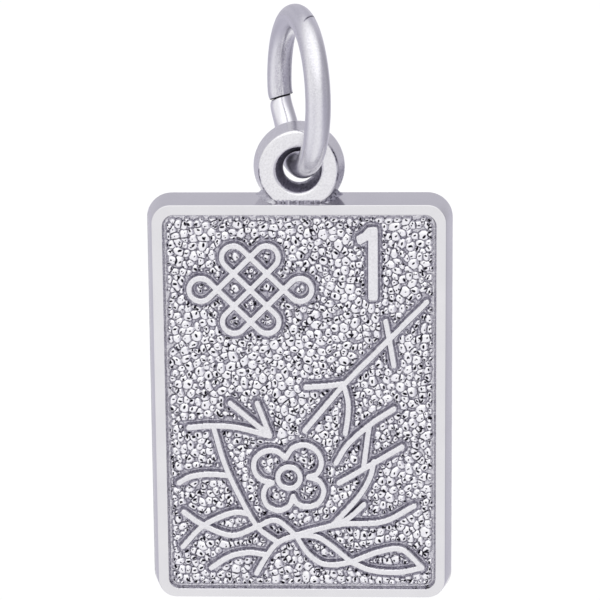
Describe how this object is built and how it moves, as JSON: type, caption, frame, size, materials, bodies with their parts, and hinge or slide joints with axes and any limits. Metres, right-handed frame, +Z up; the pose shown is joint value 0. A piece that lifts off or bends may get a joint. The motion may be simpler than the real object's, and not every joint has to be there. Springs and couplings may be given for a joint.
{
  "type": "mahjong tile charm",
  "caption": "Flat silver charm in the form of a mahjong flower tile, with a raised rim and blossom relief, hanging by an eyelet from an open jump ring.",
  "frame": {"origin": "inside top of the jump ring, the point where a chain, bail or hook carries the charm", "axes": "+Z up along the charm's length, +X to the right seen from the front, the decorated face looks along -Y and the plain back along +Y"},
  "size_m": [0.0124, 0.0068, 0.0249],
  "materials": {
    "polished_silver": "polished sterling silver wire and eyelet",
    "silver_solder": "silver solder, duller than the metal round it",
    "antiqued_silver": "cast sterling silver, rim and strokes polished, recess oxidised dark"
  },
  "bodies": {
    "ring": {"jump_ring": "polished_silver"},
    "tile": {"tile_plate": "antiqued_silver", "eyelet": "polished_silver", "solder_seam": "silver_solder"}
  },
  "joints": [
    {"name": "tile_swing", "type": "hinge", "parent": "ring", "child": "tile", "pos_m": [0, 0, -0.00558], "axis": [0, 1, 0], "range_deg": [-96, 96]}
  ]
}
